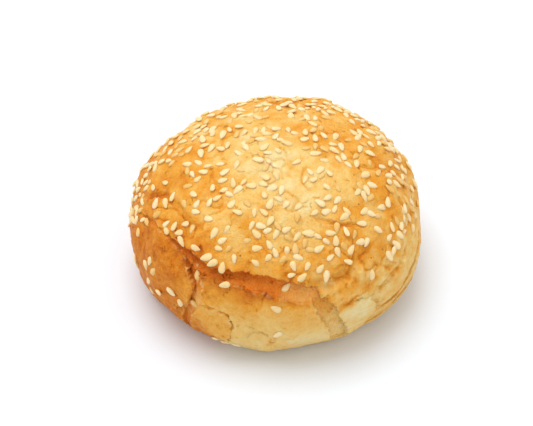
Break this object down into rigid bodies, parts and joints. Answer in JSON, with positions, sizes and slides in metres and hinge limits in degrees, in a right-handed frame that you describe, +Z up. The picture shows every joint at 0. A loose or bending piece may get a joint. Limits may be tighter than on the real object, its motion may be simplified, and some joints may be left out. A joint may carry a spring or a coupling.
{
  "type": "bread roll",
  "caption": "Round domed bread roll with a golden crust, a burst along its front shoulder and sesame seeds baked onto the dome.",
  "frame": {"origin": "middle of the flat underside, at the level the roll rests on", "axes": "+Z up through the crown, -Y towards the burst side"},
  "size_m": [0.0979, 0.0956, 0.0569],
  "materials": {
    "crust": "baked golden crust, satin where it is browned and dull where it is pale",
    "sesame": "toasted hulled sesame, satin"
  },
  "bodies": {
    "root": {"roll": "crust"}
  },
  "joints": []
}
